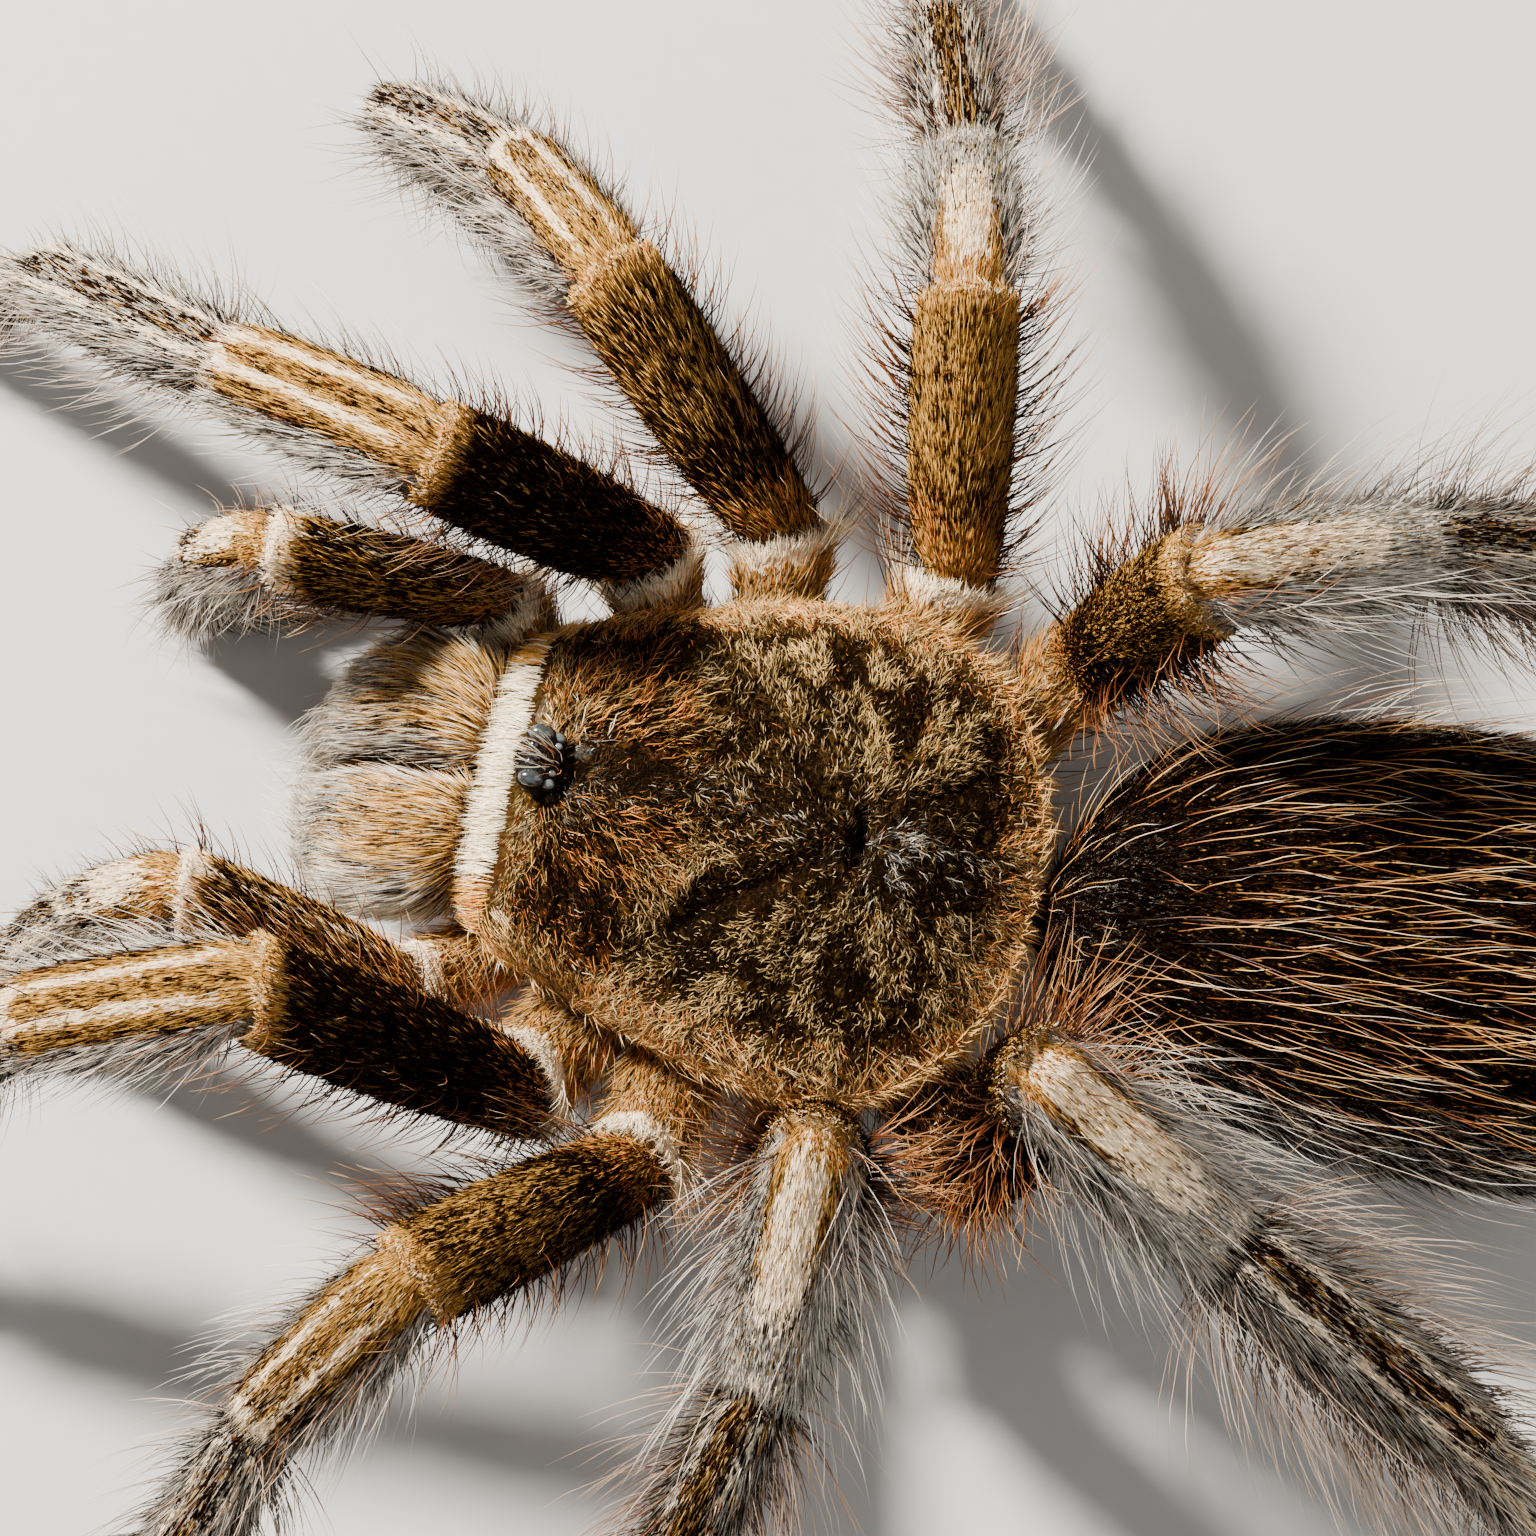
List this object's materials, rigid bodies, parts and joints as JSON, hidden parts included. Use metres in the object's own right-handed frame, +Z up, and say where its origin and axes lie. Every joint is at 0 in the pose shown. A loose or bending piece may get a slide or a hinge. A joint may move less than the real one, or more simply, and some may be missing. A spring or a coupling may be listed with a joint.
{
  "type": "tarantula",
  "caption": "Life-size tarantula at rest with arched legs, thick jaws, domed carapace, hairy abdomen and cream stripes along its legs.",
  "frame": {"origin": "on the floor, under the middle of the bounding box", "axes": "+Z up; the head looks along -Y; +X is the animal's left"},
  "size_m": [0.097, 0.0954, 0.0259],
  "materials": {
    "carapace_fur": "brown shield with short gold fleece",
    "brown_fur": "dark brown cuticle with short tan hair",
    "striped_fur": "golden fur with two cream stripes",
    "grey_fur": "grey-brown fur with thin cream stripes",
    "silver_fur": "golden to silver combed fur",
    "abdomen_fur": "black velvet under long copper hair",
    "sternum_fur": "dark brown velvet",
    "eye_gloss": "glossy black",
    "fang_gloss": "glossy red-black"
  },
  "bodies": {
    "root": {"abdomen": "abdomen_fur", "carapace": "carapace_fur", "chelicera_left": "silver_fur", "chelicera_right": "silver_fur", "eye_tubercle": "eye_gloss", "fang_left": "fang_gloss", "fang_right": "fang_gloss", "leg_left_1_coxa": "brown_fur", "leg_left_1_femur": "brown_fur", "leg_left_1_foot": "grey_fur", "leg_left_1_patella": "striped_fur", "leg_left_1_tibia": "grey_fur", "leg_left_2_coxa": "brown_fur", "leg_left_2_femur": "brown_fur", "leg_left_2_foot": "grey_fur", "leg_left_2_patella": "striped_fur", "leg_left_2_tibia": "grey_fur", "leg_left_3_coxa": "brown_fur", "leg_left_3_femur": "brown_fur", "leg_left_3_foot": "grey_fur", "leg_left_3_patella": "striped_fur", "leg_left_3_tibia": "grey_fur", "leg_left_4_coxa": "brown_fur", "leg_left_4_femur": "brown_fur", "leg_left_4_foot": "grey_fur", "leg_left_4_patella": "striped_fur", "leg_left_4_tibia": "grey_fur", "leg_right_1_coxa": "brown_fur", "leg_right_1_femur": "brown_fur", "leg_right_1_foot": "grey_fur", "leg_right_1_patella": "striped_fur", "leg_right_1_tibia": "grey_fur", "leg_right_2_coxa": "brown_fur", "leg_right_2_femur": "brown_fur", "leg_right_2_foot": "grey_fur", "leg_right_2_patella": "striped_fur", "leg_right_2_tibia": "grey_fur", "leg_right_3_coxa": "brown_fur", "leg_right_3_femur": "brown_fur", "leg_right_3_foot": "grey_fur", "leg_right_3_patella": "striped_fur", "leg_right_3_tibia": "grey_fur", "leg_right_4_coxa": "brown_fur", "leg_right_4_femur": "brown_fur", "leg_right_4_foot": "grey_fur", "leg_right_4_patella": "striped_fur", "leg_right_4_tibia": "grey_fur", "palp_left_coxa": "brown_fur", "palp_left_femur": "brown_fur", "palp_left_foot": "grey_fur", "palp_left_patella": "striped_fur", "palp_left_tibia": "grey_fur", "palp_right_coxa": "brown_fur", "palp_right_femur": "brown_fur", "palp_right_foot": "grey_fur", "palp_right_patella": "striped_fur", "palp_right_tibia": "grey_fur", "spinneret_left": "abdomen_fur", "spinneret_right": "abdomen_fur", "sternum": "sternum_fur"}
  },
  "joints": []
}
